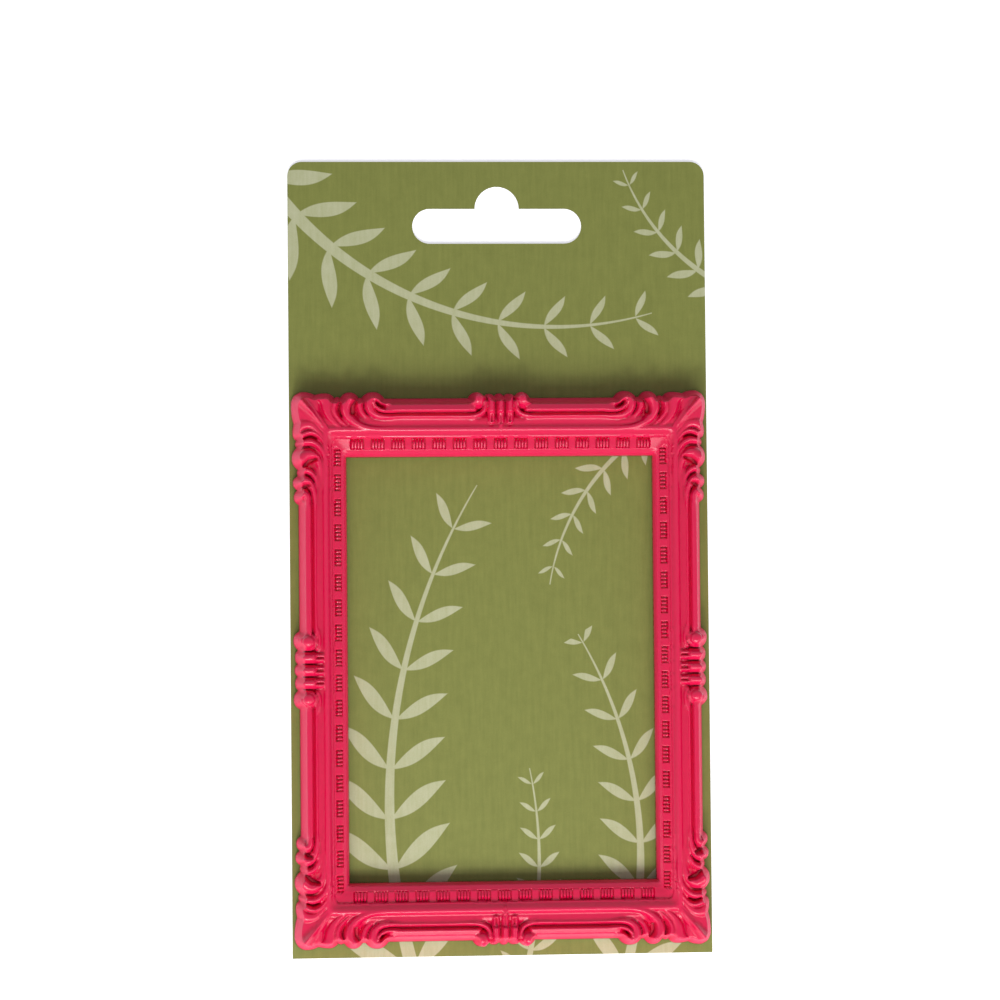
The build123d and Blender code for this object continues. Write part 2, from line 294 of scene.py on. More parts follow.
def sprigMask(flow, x, y, sprig):
    # a stem along an arc, with pairs of pointed leaves that grow smaller towards its tip;
    # along and aside are a point's places along the arc and off it
    root, tip = np.array(sprig["root"], float), np.array(sprig["tip"], float)
    half = np.hypot(*(tip - root)) / 2
    radius = (half ** 2 + sprig["bow"] ** 2) / (2 * sprig["bow"])
    toLeft = np.array([root[1] - tip[1], tip[0] - root[0]]) / (2 * half)
    middle = (root + tip) / 2 - toLeft * (radius - sprig["bow"])
    start = math.atan2(root[1] - middle[1], root[0] - middle[0])
    turn = -1 if radius > 0 else 1
    radius = abs(radius)
    length = 2 * radius * math.asin(half / radius)
    fromX, fromY = x - float(middle[0]), y - float(middle[1])
    reach = flow.maths("SQRT", fromX * fromX + fromY * fromY)
    angle = flow.maths("FLOORED_MODULO", (flow.maths("ARCTAN2", fromY, fromX) - start) * turn, 2 * math.pi)
    along = angle * radius
    aside = (reach - radius).size()
    left = 1 - along / length
    size = left * (1 - cardPrint["tipLeaf"]) + cardPrint["tipLeaf"]
    stem = ((left * sprig["stem"] + cardPrint["tipStem"] - aside) * cardPrint["stemEdge"]).clamp()
    slant = aside * cardPrint["leafSlant"]
    cell = (along - slant) / sprig["step"]
    across = ((cell - flow.maths("FLOOR", cell)) - 0.5).size() * sprig["step"]
    share = (aside / (size * sprig["leaf"])).clamp()
    width = flow.maths("SINE", share * math.pi) * size * sprig["half"]
    growth = ((width - across) * cardPrint["leafEdge"]).clamp() * (along > slant)
    return flow.maths("MAXIMUM", growth, stem) * (left > 0)


def printedCardMaterial():
    material, flow, shader = newMaterial("printedCard")
    place = flow.node("ShaderNodeTexCoord", output="Object")
    spots = flow.node("ShaderNodeSeparateXYZ", {}, {0: place}).socket.node.outputs
    x, y = Flow(flow.tree, spots["X"]) / mm, Flow(flow.tree, spots["Y"]) / mm
    facing = flow.node("ShaderNodeNewGeometry", output="Normal")
    up = flow.node("ShaderNodeSeparateXYZ", {}, {0: facing}, output="Z")
    streaks = objectNoise(flow, cardPrint["streakGrains"], 3.0, 0.6) - 0.5
    mottle = objectNoise(flow, cardPrint["mottleGrains"], 4.0, 0.6) - 0.5
    grain = objectNoise(flow, cardPrint["boardGrains"], 1.0)
    streakShare, mottleShare, grainShare = cardPrint["toneShares"]
    tone = streaks * streakShare + mottle * mottleShare + (grain - 0.5) * grainShare
    tone = (tone + cardPrint["toneMiddle"]).clamp()
    ground = tone.mixed(cardPrint["ground"], cardPrint["groundDark"])
    ink = tone.mixed(cardPrint["ink"], cardPrint["inkDeep"])
    masks = [sprigMask(flow, x, y, sprig) for sprig in cardPrint["sprigs"]]
    inked = masks[0]
    for mask in masks[1:]:
        inked = flow.maths("MAXIMUM", inked, mask)
    front = inked.mixed(ground, ink)
    printed = up > 0.5  # only the side that faces up is printed
    link(printed.mixed(cardPrint["board"], front), shader, "Base Color")
    roughness = cardPrint["roughness"] + mottle * cardPrint["mottleRoughness"] - inked * cardPrint["inkGloss"]
    link(roughness, shader, "Roughness")
    bumpNormal(flow, shader, grain, cardPrint["bump"])
    shader.inputs["Specular IOR Level"].default_value = cardPrint["specular"]
    return material


# Flexible magnet: dark ferrite rubber with a fine calendered grain
magnetRubber = {
    "dark": (0.030, 0.028, 0.027, 1),
    "pale": (0.075, 0.070, 0.066, 1),
    "grains": (3500, 3500, 3500),
    "cloudGrains": (260, 260, 260),
    "toneShares": (0.8, 0.9),  # what grain and cloud add to the paler tone
    "toneMiddle": 0.35,
    "roughness": 0.72,
    "cloudRoughness": 0.2,
    "bump": (0.4, 0.00004),
}


def magnetRubberMaterial():
    material, flow, shader = newMaterial("magnetRubber")
    grain = objectNoise(flow, magnetRubber["grains"], 2.0)
    cloud = objectNoise(flow, magnetRubber["cloudGrains"], 3.0) - 0.5
    grainShare, cloudShare = magnetRubber["toneShares"]
    tone = ((grain - 0.5) * grainShare + cloud * cloudShare + magnetRubber["toneMiddle"]).clamp()
    link(tone.mixed(magnetRubber["dark"], magnetRubber["pale"]), shader, "Base Color")
    link(magnetRubber["roughness"] + cloud * magnetRubber["cloudRoughness"], shader, "Roughness")
    bumpNormal(flow, shader, grain, magnetRubber["bump"])
    return material


# Clear removable glue
clearGlue = {
    "clear": (0.86, 0.84, 0.77, 1),
    "cloudy": (0.93, 0.92, 0.88, 1),
    "cloudGrains": (500, 500, 500),
    "roughness": 0.18,
    "cloudRoughness": 0.12,
    "bump": (0.3, 0.0001),
    "transmission": 0.55,
    "refraction": 1.45,
}


def clearGlueMaterial():
    material, flow, shader = newMaterial("clearGlue")
    cloud = objectNoise(flow, clearGlue["cloudGrains"], 3.0)
    link(cloud.mixed(clearGlue["clear"], clearGlue["cloudy"]), shader, "Base Color")
    link(clearGlue["roughness"] + cloud * clearGlue["cloudRoughness"], shader, "Roughness")
    bumpNormal(flow, shader, cloud, clearGlue["bump"])
    shader.inputs["Transmission Weight"].default_value = clearGlue["transmission"]
    shader.inputs["IOR"].default_value = clearGlue["refraction"]
    return material


# The moulding's plan and section. Along runs from the corner on the outline's box, depth runs inwards
# from that box, and a rail's own place across is counted from its bar's outer edge.
moulding = {
    "window": (27.5, 38.0),
    "overhang": 1.3,
    "stretch": 1.23,
    "railWidth": 8.7,
    # section: place across the rail and height over the back, first the bar and ridge, then the inner forms
    "bar": [
        (0.0, 4.25), (0.7, 4.4), (0.84, 4.6), (1.14, 5.72), (1.24, 5.88), (1.9, 6.2),
        (2.02, 6.22), (2.12, 6.08), (2.18, 5.9), (2.26, 5.1), (2.44, 4.95), (2.6, 5.3),
        (2.78, 5.8), (2.92, 5.92), (3.06, 5.8), (3.18, 5.6), (3.32, 5.49), (3.8, 5.38),
    ],
    "inner": [
        (3.8, 5.38), (4.0, 5.34), (4.12, 5.35), (4.3, 5.46), (4.5, 5.68), (4.66, 5.8),
        (4.8, 5.82), (4.95, 5.77), (5.1, 5.65), (5.7, 5.02), (5.8, 4.96), (5.9, 4.92),
        (5.96, 4.82), (6.02, 4.45), (7.62, 3.84), (8.45, 3.16), (8.58, 3.0), (8.7, 2.7),
    ],
    # how deep the channel that holds the combs is cut below the inner bevel, on the top rail and on the side
    "channel": [(5.95, 0.0), (6.03, 0.65), (7.5, 0.35), (7.62, 0.0)],
    "sideChannel": [(6.36, 0.0), (6.44, 0.75), (7.5, 0.45), (7.62, 0.0)],
    "channelFade": 0.1,
    "ground": [(2.2, 4.3), (3.3, 5.25), (3.8, 5.38)],  # under the ornament, in place of the bar
    "root": 3.9,  # height at which raised forms begin
    # walls, as height for each millimetre from the outline or the window
    "wallSlope": 4.8,
    "lobeSlope": 4.4,
    "ballSlope": 7.0,
    "ballReach": (1.9, 2.5),
    "innerSlope": 8.0,
    "wallFoot": 0.15,
    "innerFoot": 0.1,
    "wallRound": 0.14,
    "mitreRound": 0.42,
    "innerRound": 0.1,
    "rebate": (1.5, 0.8),  # width and depth
    "stripClearance": 0.15,
    "backRows": 6,
    "rowsApart": 0.04,
    "nearColumns": 45,  # how many columns to each side are searched for the nearest point of the outline
    "crestReach": 3,
    "rowStops": [
        0, 0.7, 1.18, 1.75, 2.1, 2.26, 2.5, 3.1, 3.4, 3.9, 4.6,
        5.1, 5.7, 6.02, 6.34, 6.46, 7.45, 7.66, 7.92, 8.5, 8.7,
    ],
    "rowSpacings": [
        0.14, 0.1, 0.13, 0.12, 0.06, 0.11, 0.12, 0.15, 0.25, 0.14,
        0.17, 0.3, 0.06, 0.3, 0.06, 0.4, 0.07, 0.09, 0.25, 0.1,
    ],
}

# Combs round the window: groups of thin teeth, with plain pads between the groups, in the bevel's channel
combs = {
    "groups": (15, 18),
    "groupGap": (1.5, 1.75),
    "overrun": 1.75,
    "teeth": 4,
    "toothWidth": 0.42,
    "slotWidth": 0.2,
    # tops across the top rail and the side rail: place and height over the back
    "toothTop": (
        [(5.94, 3.75), (6.3, 4.24), (6.6, 4.42), (6.8, 4.44), (7.1, 4.32), (7.45, 4.13), (7.62, 3.6)],
        [(6.32, 3.6), (6.55, 4.08), (6.75, 4.28), (6.95, 4.28), (7.3, 4.1), (7.5, 3.95), (7.62, 3.6)],
    ),
    "padTop": (
        [(5.94, 4.34), (6.3, 4.28), (7.1, 4.12), (7.45, 4.03), (7.6, 3.9), (7.7, 3.7)],
        [(6.32, 4.335), (6.6, 4.23), (7.1, 4.04), (7.45, 3.905), (7.7, 3.74)],
    ),
    "foot": 3.1,
    "round": 0.2,
    "mostRound": 0.8,  # the rounding as a share of a rib's half width, at most
    "bevel": 0.3,  # the rounding's middle point, as a share of the rounding from both faces
}

# Ornament on a half rail: the outline's valleys (along, depth) with the depth of the bump after each, raised
# strands, each with the points of its path, its half width and its height at both ends, and hollow cuts
topOrnament = {
    "tip": (0.65, 0.72),
    "tipEnd": 2.2,
    "leafInset": 0.05,
    "valleys": [
        (4.3, 0.55), (7.9, 1.15), (8.9, 1.15), (12.3, 1.2), (12.7, 1.2), (16.9, 1.3), (31.9, 1.3),
        (34.8, 1.0), (36.65, 0.9), (38.35, 0.9),
    ],
    "insets": [0.3, 0.95, 0.15, 1.15, 0.1, 1.3, 0.25, 0.5, 0.45],
    "barFrom": (15.6, 17.4),
    "barTo": (32.8, 33.6),
    "stops": [0.65, 2.2, 4.3, 7.9, 8.9, 11.82, 11.85, 12.3, 12.7, 16.9, 18.5, 31.0, 31.9, 34.8, 36.65, 37.5],
    "spacings": [0.19] * 9 + [0.3, 0.8] + [0.18] * 4,
    "strands": [
        {
            "path": [(5.6, 1.0), (6.3, 2.2), (6.5, 3.6), (7.1, 5.0), (8.3, 6.3), (9.6, 7.2)],
            "half": (1.5, 0.5), "top": (6.1, 5.6),
        },
        {
            "path": [(8.2, 1.7), (7.75, 2.8), (7.85, 4.1), (8.7, 5.4), (10.2, 6.7)],
            "half": (0.75, 0.4), "top": (6.1, 5.5),
        },
        {
            "path": [
                (10.5, 1.5), (9.95, 2.6), (9.9, 3.8), (10.6, 5.2), (12.0, 6.3), (14.0, 6.95), (17.0, 7.15),
            ],
            "half": (1.3, 0.6), "top": (6.6, 5.8),
        },
        {
            "path": [(12.4, 1.6), (12.3, 3.0), (12.9, 4.4), (14.3, 5.4), (16.0, 5.7)],
            "half": (0.8, 0.5), "top": (6.0, 5.1),
        },
        {
            "path": [(14.3, 1.7), (14.1, 2.9), (14.5, 4.0), (15.5, 4.75), (17.0, 4.95), (18.6, 4.95)],
            "half": (1.1, 0.5), "top": (6.5, 5.95),
        },
        {
            "path": [(14.9, 2.3), (15.3, 3.2), (16.2, 3.75), (17.4, 3.85), (18.5, 3.8)],
            "half": (0.42, 0.42), "top": (6.6, 6.2),
        },
        {
            "path": [(15.2, 1.4), (15.9, 1.5), (16.6, 2.1), (17.6, 2.9)],
            "half": (1.2, 0.7), "top": (6.5, 6.0),
        },
    ],
    "cuts": [
        {"path": [(11.5, 2.2), (11.0, 3.0), (10.95, 4.2)], "half": 0.55, "deep": 2.0},
        {"path": [(9.0, 2.4), (8.8, 3.5), (9.1, 4.6)], "half": 0.3, "deep": 1.0},
        {"path": [(15.3, 2.4), (15.6, 2.8)], "half": 0.4, "deep": 1.4},
    ],
}

sideOrnament = {
    "tip": (0.72, 0.65),
    "tipEnd": 2.4,
    "leafInset": 0.05,
    "valleys": [
        (5.9, 0.5), (8.9, 0.95), (10.1, 1.05), (14.1, 1.2), (15.2, 1.2), (17.8, 1.05),
        (20.4, 1.3), (43.0, 1.3), (46.4, 1.0), (48.88, 0.9), (51.12, 0.9),
    ],
    "insets": [0.3, 0.75, 0.15, 1.05, 0.3, 0.45, 1.3, 0.2, 0.45, 0.4],
    "barFrom": (18.8, 20.8),
    "barTo": (44.2, 45.2),
    "stops": [
        0.72, 2.4, 5.9, 8.9, 10.1, 13.82, 13.85, 14.1, 15.2,
        17.8, 20.4, 22.0, 42.0, 43.0, 46.4, 48.88, 50.001,
    ],
    "spacings": [0.215] * 10 + [0.35, 0.9] + [0.21] * 4,
    "strands": [
        {
            "path": [(6.9, 1.0), (6.3, 2.4), (6.4, 3.7), (7.2, 4.7), (8.5, 5.7), (10.4, 6.5)],
            "half": (1.4, 0.5), "top": (6.1, 5.6),
        },
        {
            "path": [(8.4, 1.6), (7.7, 3.0), (7.7, 4.1), (8.4, 5.1), (9.8, 6.1), (11.6, 6.7)],
            "half": (0.6, 0.4), "top": (6.3, 5.5),
        },
        {
            "path": [
                (9.5, 1.3), (9.3, 2.6), (9.4, 3.9), (10.2, 5.1),
                (11.6, 5.95), (13.4, 6.3), (16.5, 6.25), (19.0, 6.1),
            ],
            "half": (0.75, 0.5), "top": (6.2, 5.7),
        },
        {
            "path": [
                (12.6, 1.5), (11.7, 2.6), (11.6, 3.6), (12.3, 4.6), (13.6, 5.25), (15.5, 5.5), (18.0, 5.5),
            ],
            "half": (1.3, 0.5), "top": (6.6, 5.4),
        },
        {
            "path": [(14.6, 1.7), (14.4, 2.8), (15.0, 3.8), (16.3, 4.5), (18.2, 4.7)],
            "half": (0.7, 0.4), "top": (6.2, 5.4),
        },
        {
            "path": [(16.6, 1.4), (16.2, 2.3), (16.6, 3.2), (17.6, 3.9), (19.2, 4.2), (21.0, 4.25)],
            "half": (1.0, 0.45), "top": (6.5, 5.95),
        },
        {
            "path": [(18.9, 1.5), (18.6, 2.3), (19.2, 2.9), (20.4, 3.0), (22.0, 3.0)],
            "half": (1.0, 0.5), "top": (6.4, 6.2),
        },
    ],
    "cuts": [
        {"path": [(13.5, 2.3), (12.7, 3.2), (12.4, 4.4)], "half": 0.5, "deep": 1.9},
        {"path": [(8.8, 2.4), (8.4, 3.4), (8.7, 4.5)], "half": 0.3, "deep": 0.9},
        {"path": [(17.8, 1.9), (17.1, 2.6), (17.0, 3.2)], "half": 0.45, "deep": 1.7},
    ],
}

# Powers that round the outline's bumps, the leaf's edge and the strands, and points along each path
carving = {"bump": 2.4, "leafEdge": 2.2, "strand": 0.34, "strandPoints": 70, "cutPoints": 24}

cornerLeaf = {
    "height": 5.75,
    "fall": 0.10,
    "reach": (4.4, 6.6),
    "vein": {
        "path": [(1.0, 1.0), (2.8, 3.0), (4.6, 5.1), (6.2, 7.2)],
        "half": (1.25, 0.6), "top": (7.7, 5.75),
    },
    "veinPower": 1.7,
}

# Cluster in the middle of a rail: fingers with slits and a knob at each side, along from the rail's middle.
# A slit has its start, end, half width and depth, a groove its radius, half width and depth, and a drop its
# start, end, half width and top.
finger = {"power": 0.6, "overlap": 0.5, "endRound": 0.45}
topCluster = {
    "pitch": 1.65, "half": 0.70, "step": 3.9, "top": 6.7,
    "innerEnd": 6.5, "innerTop": 6.05, "slit": (4.6, 6.0, 0.16, 0.6),
    "knob": (4.15, 1.95), "knobRadius": 1.75, "knobTop": 6.9, "knobPower": 0.45, "groove": (1.0, 0.2, 0.0),
    "drop": (6.2, 8.0, 0.75, 6.1),
    "hook": {
        "path": [(8.0, 4.93), (6.2, 4.93), (4.6, 4.8), (3.4, 4.3), (2.8, 3.4), (2.65, 2.4)],
        "half": (0.5, 0.5), "top": (5.92, 6.3),
    },
}
sideCluster = {
    "pitch": 2.25, "half": 1.02, "step": 3.6, "top": 6.7,
    "innerEnd": 6.0, "innerTop": 6.2, "slit": (4.2, 5.6, 0.26, 0.9),
    "knob": (5.1, 2.9), "knobRadius": 1.7, "knobTop": 6.95, "knobPower": 0.3, "groove": (1.15, 0.24, 0.3),
    "drop": None,
    "hook": {
        "path": [(8.8, 4.25), (7.8, 4.3), (6.8, 4.6), (5.8, 4.85), (4.6, 4.8), (3.8, 4.4)],
        "half": (0.42, 0.36), "top": (5.92, 5.95),
    },
}


def outlineDepth(along, plan):
    # depth of the outline: a parabola round the leaf's tip, half a bump on the leaf, then a bump in each gap
    # between two valleys, with depth = chord + (inset - chord) * (1 - |2w - 1|^power)
    valleyAlong, valleyDepth = np.array(plan["valleys"]).T
    insets = np.array(plan["insets"])
    gap = np.clip(np.searchsorted(valleyAlong, along) - 1, 0, len(insets) - 1)
    width = (along - valleyAlong[gap]) / (valleyAlong[gap + 1] - valleyAlong[gap])
    chord = valleyDepth[gap] + (valleyDepth[gap + 1] - valleyDepth[gap]) * width
    scallop = chord + (insets[gap] - chord) * (1 - np.abs(2 * width - 1) ** carving["bump"])
    tipAlong, tipDepth = plan["tip"]
    toTip = (plan["tipEnd"] - along) / (plan["tipEnd"] - tipAlong)
    tip = plan["leafInset"] + (tipDepth - plan["leafInset"]) * np.clip(toTip, 0, 1) ** 2
    leafPart = np.clip((along - plan["tipEnd"]) / (valleyAlong[0] - plan["tipEnd"]), 0, 1)
    leaf = plan["leafInset"] + (valleyDepth[0] - plan["leafInset"]) * leafPart ** carving["leafEdge"]
    return np.where(along < plan["tipEnd"], tip, np.where(along < valleyAlong[0], leaf, scallop))


def pathDistance(along, depth, path, halves):
    # square of the distance to the nearest point of a path, as a share of the half width there,
    # and the number of that point
    nearest = np.full(along.shape, np.inf)
    number = np.zeros(along.shape, int)
    for index, ((pathAlong, pathDepth), half) in enumerate(zip(path, halves)):
        square = ((along - pathAlong) ** 2 + (depth - pathDepth) ** 2) / half ** 2
        number = np.where(square < nearest, index, number)
        nearest = np.minimum(nearest, square)
    return nearest, number


def strandPath(along, depth, strand):
    # square of the distance to a strand's path, as a share of its half width, and the strand's top there
    path = smoothPath(strand["path"], carving["strandPoints"])
    place = np.linspace(0, 1, len(path))
    halves = strand["half"][0] + (strand["half"][1] - strand["half"][0]) * place
    tops = strand["top"][0] + (strand["top"][1] - strand["top"][0]) * place
    square, number = pathDistance(along, depth, path, halves)
    return square, tops[number]


def strandHeight(along, depth, strand, root):
    # a flat-topped bead along a path: root + rise * (1 - (distance / half width)^2)^power
    square, top = strandPath(along, depth, strand)
    height = root + (top - root) * np.maximum(0, 1 - square) ** carving["strand"]
    return np.where(square < 1, height, 0)


def veinHeight(along, depth):
    # the corner leaf's vein, a ridge with hollow flanks: leaf + rise * (1 - distance / half width)^power
    square, top = strandPath(along, depth, cornerLeaf["vein"])
    base = cornerLeaf["height"]
    height = base + (top - base) * np.maximum(0, 1 - np.sqrt(square)) ** cornerLeaf["veinPower"]
    return np.where(square < 1, height, 0)


def cutDepth(along, depth, cut):
    # a hollow along a path: deep * (1 - (distance / half width)^2)
    path = smoothPath(cut["path"], carving["cutPoints"])
    square = pathDistance(along, depth, path, np.full(len(path), cut["half"]))[0]
    return cut["deep"] * np.maximum(0, 1 - square)


def clusterHeight(along, depth, plan):
    # round fingers across the rail, lower past their step and slit there, a pointed drop under the middle
    # one, a hooked strand, and a round knob at the side: root + rise * (1 - (distance / radius)^2)^power,
    # less a ring-shaped groove
    nearest = np.clip(np.round(along / plan["pitch"]), -1, 1) * plan["pitch"]
    aside = np.abs(along - nearest)
    roundTop = np.sqrt(np.maximum(0, 1 - (aside / plan["half"]) ** 2)) ** finger["power"]
    root = moulding["root"]
    pastStep = np.maximum(0, depth - plan["step"]) / plan["half"]
    raised = root + (plan["top"] - root) * roundTop * np.sqrt(np.maximum(0, 1 - pastStep ** 2))
    inside = (depth > plan["step"] - finger["overlap"]) & (depth < plan["innerEnd"])
    innerEnd = np.sqrt(np.clip((plan["innerEnd"] - depth) / finger["endRound"], 0, 1))
    inner = np.where(inside, root + (plan["innerTop"] - root) * roundTop * innerEnd, 0)
    slitStart, slitEnd, slitHalf, slitDeep = plan["slit"]
    slit = (aside < slitHalf) & (depth > slitStart) & (depth < slitEnd)
    height = np.maximum(np.where(pastStep < 1, raised, 0), inner - slit * slitDeep)
    if plan["drop"]:
        start, end, half, top = plan["drop"]
        taper = half * np.clip((end - depth) / (end - start), 0, 1)
        point = root + (top - root) * np.sqrt(np.maximum(0, 1 - (along / np.maximum(taper, 1e-6)) ** 2))
        height = np.maximum(height, np.where((depth > start) & (np.abs(along) < taper), point, 0))
    fromKnob = np.hypot(along - plan["knob"][0], depth - plan["knob"][1])
    grooveAt, grooveHalf, grooveDeep = plan["groove"]
    fall = np.maximum(0, 1 - (fromKnob / plan["knobRadius"]) ** 2) ** plan["knobPower"]
    knob = root + (plan["knobTop"] - root) * fall
    knob = knob - grooveDeep * np.maximum(0, 1 - ((fromKnob - grooveAt) / grooveHalf) ** 2)
    height = np.maximum(height, np.where(fromKnob < plan["knobRadius"], knob, 0))
    return np.maximum(height, strandHeight(along, depth, plan["hook"], root))


def combPitches():
    # steps from comb to comb along the top and the side
    windowX, windowY = moulding["window"]
    sideReach = windowY + combs["overrun"] * moulding["stretch"]
    return 2 * windowX / combs["groups"][0], 2 * sideReach / combs["groups"][1]


def combEnds():
    # where the last comb's slot ends, from the middle of the top rail and of the side rail
    return [
        pitch * count / 2 - gap / 2 + combs["slotWidth"] / 2
        for pitch, count, gap in zip(combPitches(), combs["groups"], combs["groupGap"])
    ]


def reliefHeight(x, y, edge):
    # the front's height over the back in one quarter: the mitred section, then every raised form over it
    acrossX, acrossY = edge[0] - x, edge[1] - y
    placeTop = (acrossY - moulding["overhang"]) / moulding["stretch"]
    placeSide = acrossX - moulding["overhang"]
    place = softMin(placeTop, placeSide, moulding["mitreRound"])
    onTop = placeTop < placeSide
    barPart = np.where(
        onTop,
        blendStep(*topOrnament["barFrom"], acrossX) * (1 - blendStep(*topOrnament["barTo"], acrossX)),
        blendStep(*sideOrnament["barFrom"], acrossY) * (1 - blendStep(*sideOrnament["barTo"], acrossY)),
    )
    bar = np.interp(place, *np.array(moulding["bar"]).T)
    ground = np.interp(place, *np.array(moulding["ground"]).T)
    bar = ground + (bar - ground) * barPart
    inner = np.interp(place, *np.array(moulding["inner"]).T)
    sharpPlace = np.minimum(placeTop, placeSide)
    channel = np.where(
        onTop,
        np.interp(sharpPlace, *np.array(moulding["channel"]).T),
        np.interp(sharpPlace, *np.array(moulding["sideChannel"]).T),
    )
    (endTop, endSide), fade = combEnds(), moulding["channelFade"]
    inner = inner - channel * np.where(
        onTop,
        1 - blendStep(endTop - fade, endTop + fade, x),
        1 - blendStep(endSide - fade, endSide + fade, y),
    )
    split = moulding["inner"][0][0]
    height = np.where(place < split, bar, inner)
    veinOff = np.abs(acrossX * moulding["stretch"] - acrossY) / math.hypot(1, moulding["stretch"])
    fromTip = np.maximum(acrossX, acrossY / moulding["stretch"])
    leafPart = 1 - blendStep(*cornerLeaf["reach"], fromTip)
    leaf = cornerLeaf["height"] - cornerLeaf["fall"] * veinOff
    height = height + (np.maximum(leaf, height) - height) * leafPart
    root = moulding["root"]
    for along, depth, plan in ((acrossX, acrossY, topOrnament), (acrossY, acrossX, sideOrnament)):
        for strand in plan["strands"]:
            height = np.maximum(height, strandHeight(along, depth, strand, root))
        for cut in plan["cuts"]:
            height = height - cutDepth(along, depth, cut)
    height = np.maximum(height, veinHeight(acrossX, acrossY))
    height = np.maximum(height, clusterHeight(x, acrossY, topCluster))
    return np.maximum(height, clusterHeight(y, acrossX, sideCluster)), barPart


def quarterColumns(edge):
    # outer and inner end of each column, from the top rail's middle to the corner and down to the side's
    # middle; columns stand square to the rail along its magnet strip and fan out to the corner past it
    windowX, windowY = moulding["window"]
    ends = []
    for plan, size, window, strip in (
        (topOrnament, edge[0], windowX, nodeBox("magnet_strip_top")[1][0]),
        (sideOrnament, edge[1], windowY, nodeBox("magnet_strip_right")[1][1]),
    ):
        along = spacedStops(plan["stops"], plan["spacings"])
        depth = outlineDepth(along, plan)
        fanEnd = size - strip - moulding["stripClearance"]
        cornerIn = size - window
        fan = cornerIn + (fanEnd - cornerIn) * (along - along[0]) / (fanEnd - along[0])
        ends.append((along, depth, np.where(along < fanEnd, fan, along), along > fanEnd - 1e-6))
    (alongTop, depthTop, innerTop, channelTop), (alongSide, depthSide, innerSide, channelSide) = ends
    outerTop = np.stack([edge[0] - alongTop, edge[1] - depthTop], axis=-1)[::-1]
    windowTop = np.stack([edge[0] - innerTop, np.full_like(innerTop, windowY)], axis=-1)[::-1]
    outerSide = np.stack([edge[0] - depthSide, edge[1] - alongSide], axis=-1)[1:]
    windowSide = np.stack([np.full_like(innerSide, windowX), edge[1] - innerSide], axis=-1)[1:]
    outer = np.concatenate([outerTop, outerSide])
    inner = np.concatenate([windowTop, windowSide])
    channel = np.concatenate([channelTop[::-1], channelSide[1:]])
    onTop = np.arange(len(outer)) < len(outerTop)
    return outer, inner, channel, onTop


def mouldingQuarter(edge):
    # one quarter of the moulding: rows run over the front from the outline to the window, then over the back
    outer, inner, channel, onTop = quarterColumns(edge)
    rows = spacedStops(moulding["rowStops"], moulding["rowSpacings"]) / moulding["railWidth"]
    front = outer[:, None] + (inner - outer)[:, None] * rows[None, :, None]
    x, y = front[..., 0], front[..., 1]
    number = np.arange(len(outer))
    fromEdge = np.full(x.shape, np.inf)
    reach = moulding["nearColumns"]
    for step in range(-reach, reach + 1):
        near = outer[np.clip(number + step, 0, len(outer) - 1)]
        fromEdge = np.minimum(fromEdge, np.hypot(x - near[:, None, 0], y - near[:, None, 1]))
    windowX, windowY = moulding["window"]
    fromWindow = np.hypot(np.maximum(x - windowX, 0), np.maximum(y - windowY, 0))
    height, barPart = reliefHeight(x, y, edge)
    barWall = moulding["wallSlope"] * fromEdge + moulding["wallFoot"]
    # the top rail's knobs are balls, so the wall under them is steeper
    fromBall = np.hypot(x - topCluster["knob"][0], edge[1] - y - topCluster["knob"][1])
    ball = 1 - blendStep(*moulding["ballReach"], fromBall)
    lobeWall = (moulding["lobeSlope"] + moulding["ballSlope"] * ball) * fromEdge + moulding["wallFoot"]
    height = softMin(height, lobeWall + (barWall - lobeWall) * barPart, moulding["wallRound"])
    rebateWidth, rebateDeep = moulding["rebate"]
    innerWall = rebateDeep + moulding["innerFoot"] + moulding["innerSlope"] * fromWindow
    height = softMin(height, innerWall, moulding["innerRound"])
    height[:, 0] = 0
    height[:, -1] = rebateDeep

    # the back's rows: out past the rebate, then across the magnet channel
    stripTop, stripSide = nodeBox("magnet_strip_top"), nodeBox("magnet_strip_right")
    clearance = moulding["stripClearance"]
    stripDeep = stripTop[1][2] - stripTop[0][2]
    bounds = np.where(
        onTop[:, None],
        [windowY + rebateWidth, stripTop[0][1] - clearance, stripTop[1][1] + clearance],
        [windowX + rebateWidth, stripSide[0][0] - clearance, stripSide[1][0] + clearance],
    )
    axis = np.where(onTop, 1, 0)
    start, end = inner[number, axis], outer[number, axis]
    shares = (bounds - start[:, None]) / (end - start)[:, None]
    shares = shares[:, [0, 0, 1, 1, 2, 2]]
    # past the strips' ends there is no channel, and its rows lie apart so that no face is folded shut
    shares[:, 3] += np.where(channel, 0, moulding["rowsApart"])
    shares[:, 4] -= np.where(channel, 0, moulding["rowsApart"])
    back = inner[:, None] + (outer - inner)[:, None] * shares[..., None]
    deep = np.where(channel, stripDeep, 0)
    nothing = np.zeros(len(outer))
    backHeight = np.stack([nothing + rebateDeep, nothing, nothing, deep, deep, nothing], axis=-1)
    return np.concatenate([
        np.concatenate([front, height[..., None]], axis=-1),
        np.concatenate([back, backHeight[..., None]], axis=-1),
    ], axis=1)


def crestOf(height, reach):
    # how far each point stands over the mean of its neighbours in the grid, in millimetres
    mean = height.copy()
    for axis in (0, 1):
        total = sum(np.roll(mean, step, axis) for step in range(-reach, reach + 1))
        mean = total / (2 * reach + 1)
    return height - mean


